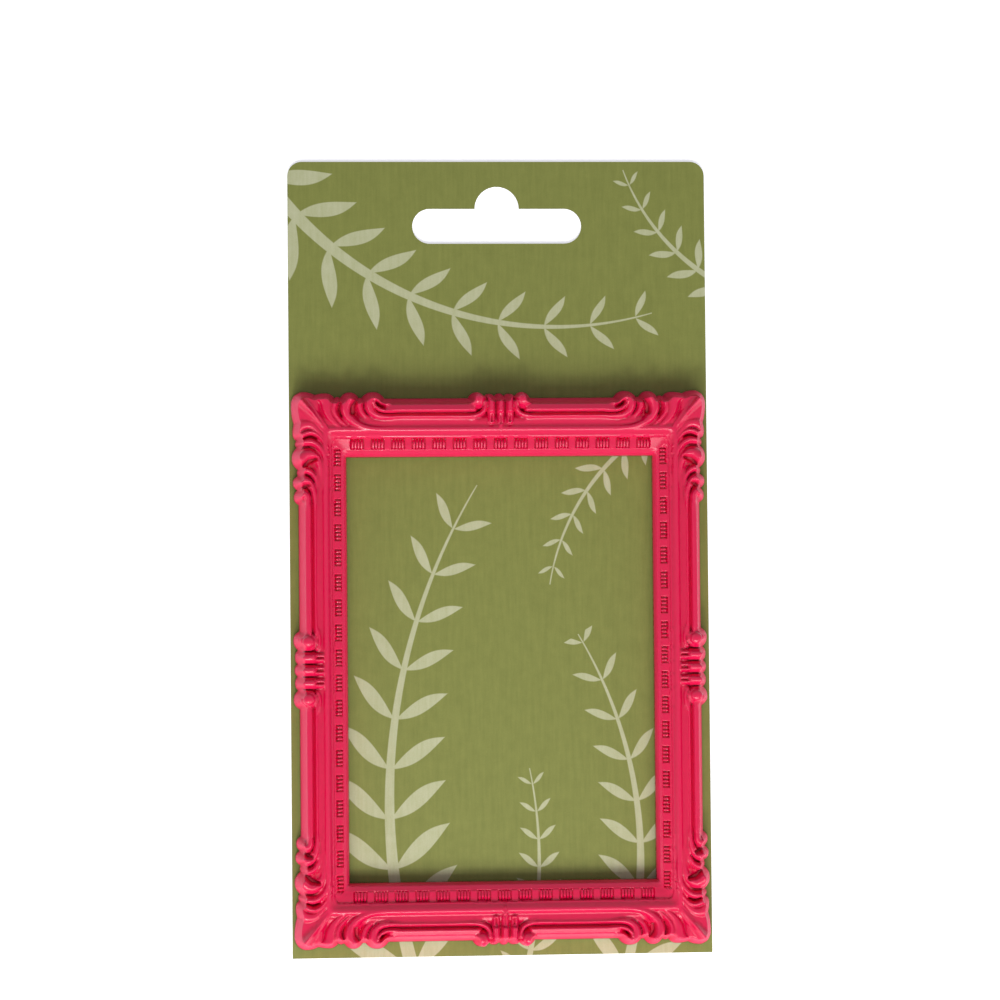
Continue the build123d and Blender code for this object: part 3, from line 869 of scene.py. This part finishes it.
def buildMoulding(material):
    # the quarter, mirrored four times into one closed ring of columns
    low, high = nodeBox("frame_moulding")
    quarter = mouldingQuarter(high[:2])
    toSide, toTop = quarter, quarter[::-1]
    flips = [(toTop, (1, 1)), (toSide, (-1, 1)), (toTop, (-1, -1)), (toSide, (1, -1))]
    ring = np.concatenate([part[:-1] * np.array([*signs, 1]) for part, signs in flips])
    # how far a point stands proud, which sets the painted highlight on crests and the painted shade in
    # crevices
    crest = crestOf(ring[..., 2], moulding["crestReach"])
    # steep is 0 where the surface lies flat and 1 where it stands upright
    alongRing = np.roll(ring, -1, 0) - np.roll(ring, 1, 0)
    acrossRing = np.roll(ring, -1, 1) - np.roll(ring, 1, 1)
    normal = np.cross(alongRing, acrossRing)
    steep = 1 - np.abs(normal[..., 2]) / np.maximum(np.linalg.norm(normal, axis=-1), 1e-9)
    backRows = moulding["backRows"]
    crest[:, -backRows:] = 0
    steep[:, -backRows:] = 0
    ring = ring + np.array([0, 0, low[2]])
    columns, rows = ring.shape[:2]
    quads = gridFaces(columns, rows, True, True)
    onFront = np.tile(np.arange(rows) < rows - backRows - 1, columns)  # the back's faces are shaded flat
    piece = quadMesh("mouldedFrame", ring.reshape(-1, 3), quads, material, onFront)
    for name, values in (("crest", crest), ("steep", steep)):
        attribute = piece.data.attributes.new(name, "FLOAT", "POINT")
        attribute.data.foreach_set("value", values.astype(np.float32).ravel())
    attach(piece, "frame")
    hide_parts("frame_moulding")
    print("moulding:", columns, "columns,", rows, "rows,", 2 * len(quads), "triangles")
    return piece


def ribShape(half, tops):
    # a bar across the band: a flat foot, upright sides and rounded top edges, at each place of its top line
    edge = min(combs["round"], combs["mostRound"] * half)
    bevel = combs["bevel"] * edge
    across = np.array([-half, -half, bevel - half, edge - half, half - edge, half - bevel, half, half])
    drop = np.array([0, edge, bevel, 0, 0, bevel, edge, 0])
    place, top = np.array(tops).T
    up = top[:, None] - drop[None, :]
    up[:, [0, -1]] = combs["foot"]
    return np.stack(np.broadcast_arrays(across[None, :], place[:, None], up), axis=-1)


def buildCombs(material):
    # every tooth and pad of the four rails in one mesh, each a copy of its rail's rib
    low = nodeBox("frame_moulding")[0]
    stretch = moulding["stretch"]
    points, quads = [], []
    for axis, count, pitch, gap in zip((0, 1), combs["groups"], combPitches(), combs["groupGap"]):
        widen = stretch if axis == 0 else 1
        window = moulding["window"][1 - axis]
        groupsAt = (np.arange(count) - (count - 1) / 2) * pitch
        toothStep = (pitch - gap) / combs["teeth"]
        inGroup = (np.arange(combs["teeth"]) - (combs["teeth"] - 1) / 2) * toothStep
        teethAt = (groupsAt[:, None] + inGroup[None, :]).ravel()
        padsAt = groupsAt[:-1] + pitch / 2
        for ribsAt, half, tops in (
            (teethAt, combs["toothWidth"] / 2, combs["toothTop"][axis]),
            (padsAt, (gap - combs["slotWidth"]) / 2, combs["padTop"][axis]),
        ):
            rib = ribShape(half, tops)
            stations, corners = rib.shape[:2]
            rib[..., 1] = window + (moulding["railWidth"] - rib[..., 1]) * widen
            rib[..., 2] += low[2]
            caps = np.array([[0, 1, 2, 3], [0, 3, 4, 7], [7, 4, 5, 6]])
            one = np.concatenate([
                gridFaces(stations, corners, False, True), caps, caps[:, ::-1] + (stations - 1) * corners,
            ])
            for side in (-1, 1):
                row = np.broadcast_to(rib, (len(ribsAt), *rib.shape)).copy()
                row[..., 0] += ribsAt[:, None, None]
                row[..., 1] *= side
                if axis == 1:
                    row = row[..., [1, 0, 2]]
                flip = (side < 0) == (axis == 0)
                base = sum(len(part) for part in points)
                numbers = np.arange(len(ribsAt))[:, None, None] * stations * corners + base
                points.append(row.reshape(-1, 3))
                quads.append(((one[:, ::-1] if flip else one)[None] + numbers).reshape(-1, 4))
    piece = quadMesh("combTeeth", np.concatenate(points), np.concatenate(quads), material, smooth=False)
    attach(piece, "frame")
    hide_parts("frame_moulding")
    print("combs:", len(np.concatenate(quads)), "faces")
    return piece


# Glue dots: soft blobs pressed flat between the card and the moulding's corner pads
glueDot = {
    "bulge": 0.22,
    "waver": 0.05,
    "waves": (3, 5),  # waves round the rim, and the share of each
    "waveShares": (0.6, 0.4),
    "rings": 9,
    "sides": 40,
    "innerRings": (0.35, 0.7),
    "pole": 0.02,
}


def buildGlueDot(node, number, material):
    # a pressed blob: flat above and below, with a round rim whose radius wavers round the dot
    low, high = nodeBox(node)
    middle, radius, thick = (low + high) / 2, (high[0] - low[0]) / 2, high[2] - low[2]
    turn = np.linspace(0, 2 * math.pi, glueDot["sides"], endpoint=False)
    (wide, narrow), (wideShare, narrowShare) = glueDot["waves"], glueDot["waveShares"]
    swell = 1 + np.sin(wide * turn + number) * wideShare + np.sin(narrow * turn + 2 * number) * narrowShare
    waver = 1 - glueDot["waver"] * swell / 2
    rim = np.linspace(-math.pi / 2, math.pi / 2, glueDot["rings"])
    rimRadius = radius - glueDot["bulge"] + glueDot["bulge"] * np.cos(rim)
    inner, pole = np.array(glueDot["innerRings"]) * radius, [glueDot["pole"]]
    radii = np.concatenate([pole, inner, rimRadius, inner[::-1], pole])
    flat = np.full(len(inner) + 1, thick / 2)
    heights = np.concatenate([-flat, thick / 2 * np.sin(rim), flat])
    points = np.stack([
        middle[0] + radii[:, None] * (waver * np.cos(turn))[None],
        middle[1] + radii[:, None] * (waver * np.sin(turn))[None],
        np.broadcast_to(middle[2] + heights[:, None], (len(radii), len(turn))),
    ], axis=-1)
    sides = glueDot["sides"]
    quads = gridFaces(len(radii), sides, False, True)
    strip = np.arange(sides // 2 - 1)
    cap = np.stack([strip, strip + 1, sides - 2 - strip, sides - 1 - strip], axis=-1)
    quads = np.concatenate([quads, cap, cap[:, ::-1] + (len(radii) - 1) * sides])
    piece = quadMesh(node.replace("glue_dot", "pressed_glue"), points.reshape(-1, 3), quads, material)
    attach(piece, "card")
    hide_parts(node)
    return piece


def setMaterial(node, material):
    # a CAD node keeps its shape and takes a new finish
    slots = nodes[node].data.materials
    slots.clear()
    slots.append(material)


# Stage, light and camera
studio = {
    "floor": (0.93, 0.93, 0.93, 1),
    "floorPale": (0.95, 0.95, 0.95, 1),
    "floorGrains": (60, 60, 60),
    "floorRoughness": 0.9,
    "floorReach": 3.0,
    "floorDrop": 0.00005,  # just under the card, in metres
    "glow": 0.50,  # of the paper near the object, as the camera sees it
    "farGlow": 0.95,
    "glowFrom": 0.15,
    "glowGain": 1.6,
    "black": (0, 0, 0, 1),
    "white": (1, 1, 1, 1),
    "world": (0.238, 0.238, 0.290, 1),
    # each softbox: its place, its width and height, and its power
    "softboxes": [
        {"place": (0.0, -0.35, 0.44), "size": (0.6, 0.3), "power": 2.4},
        {"place": (-0.04, -0.36, 0.46), "size": (0.08, 0.08), "power": 0.55},
        {"place": (-0.56, -0.28, 0.18), "size": (0.4, 0.3), "power": 0.8},
        {"place": (0.56, -0.28, 0.18), "size": (0.4, 0.3), "power": 0.75},
    ],
}
photoCamera = {
    "place": (-40.65, 10.0, 600.0),  # millimetres
    "turn": (1.934, -3.891, -0.527),  # degrees about X, Y and Z, applied Z first
    "lens": 120.07,
    "near": 0.01,  # metres
}


def seenDirectly(flow):
    # 1 for rays from the camera, in mirrors and through glass, 0 for rays that light the object
    rays = flow.node("ShaderNodeLightPath").socket.node.outputs
    camera, glossy, through = [
        Flow(flow.tree, rays[name]) for name in ("Is Camera Ray", "Is Glossy Ray", "Is Transmission Ray")
    ]
    return (camera + glossy + through).clamp()


def buildStage():
    mesh = bpy.data.meshes.new("whiteFloor")
    reach = studio["floorReach"]
    corners = [(-reach, -reach, 0), (reach, -reach, 0), (reach, reach, 0), (-reach, reach, 0)]
    mesh.from_pydata(corners, [], [(0, 1, 2, 3)])
    material, flow, shader = newMaterial("whitePaper")
    grain = objectNoise(flow, studio["floorGrains"], 2.0)
    link(grain.mixed(studio["floor"], studio["floorPale"]), shader, "Base Color")
    shader.inputs["Roughness"].default_value = studio["floorRoughness"]
    place = flow.node("ShaderNodeTexCoord", output="Object")
    far = flow.node("ShaderNodeVectorMath", {"operation": "LENGTH"}, {0: place}, output="Value")
    away = ((far - studio["glowFrom"]) * studio["glowGain"]).clamp()
    glow = away * (studio["farGlow"] - studio["glow"]) + studio["glow"]
    link((seenDirectly(flow) * glow).mixed(studio["black"], studio["white"]), shader, "Emission Color")
    shader.inputs["Emission Strength"].default_value = 1.0
    mesh.materials.append(material)
    floor = bpy.data.objects.new("whiteFloor", mesh)
    floor.location.z = -studio["floorDrop"]
    bpy.context.scene.collection.objects.link(floor)


def buildLight():
    world = bpy.data.worlds.new("softStudio")
    world.use_nodes = True
    background = world.node_tree.nodes["Background"]
    flow = Flow(world.node_tree)
    link(seenDirectly(flow).mixed(studio["world"], studio["white"]), background, "Color")
    bpy.context.scene.world = world
    for number, softbox in enumerate(studio["softboxes"]):
        data = bpy.data.lights.new(f"softbox{number}", "AREA")
        data.shape = "RECTANGLE"
        data.size, data.size_y = softbox["size"]
        data.energy = softbox["power"]
        lamp = bpy.data.objects.new(f"softbox{number}", data)
        lamp.location = softbox["place"]
        lamp.rotation_mode = "QUATERNION"
        lamp.rotation_quaternion = (-lamp.location).to_track_quat("-Z", "Y")
        bpy.context.scene.collection.objects.link(lamp)


def buildCamera():
    data = bpy.data.cameras.new("photoCamera")
    data.lens = photoCamera["lens"]
    data.clip_start = photoCamera["near"]
    camera = bpy.data.objects.new("photoCamera", data)
    camera.location = [value * mm for value in photoCamera["place"]]
    camera.rotation_mode = "ZXY"
    camera.rotation_euler = [math.radians(value) for value in photoCamera["turn"]]
    bpy.context.scene.collection.objects.link(camera)
    bpy.context.scene.camera = camera


red = redPaintMaterial()
buildMoulding(red)
buildCombs(red)
setMaterial("hang_card", printedCardMaterial())
rubber = magnetRubberMaterial()
glue = clearGlueMaterial()
for side in ("top", "bottom", "left", "right"):
    setMaterial(f"magnet_strip_{side}", rubber)
for number, corner in enumerate(("top_left", "top_right", "bottom_left", "bottom_right")):
    buildGlueDot(f"glue_dot_{corner}", number, glue)
print("card, magnets and glue dots finished")
buildStage()
buildLight()
buildCamera()
print("floor, light and camera finished")
bpy.context.scene.view_settings.view_transform = "Standard"
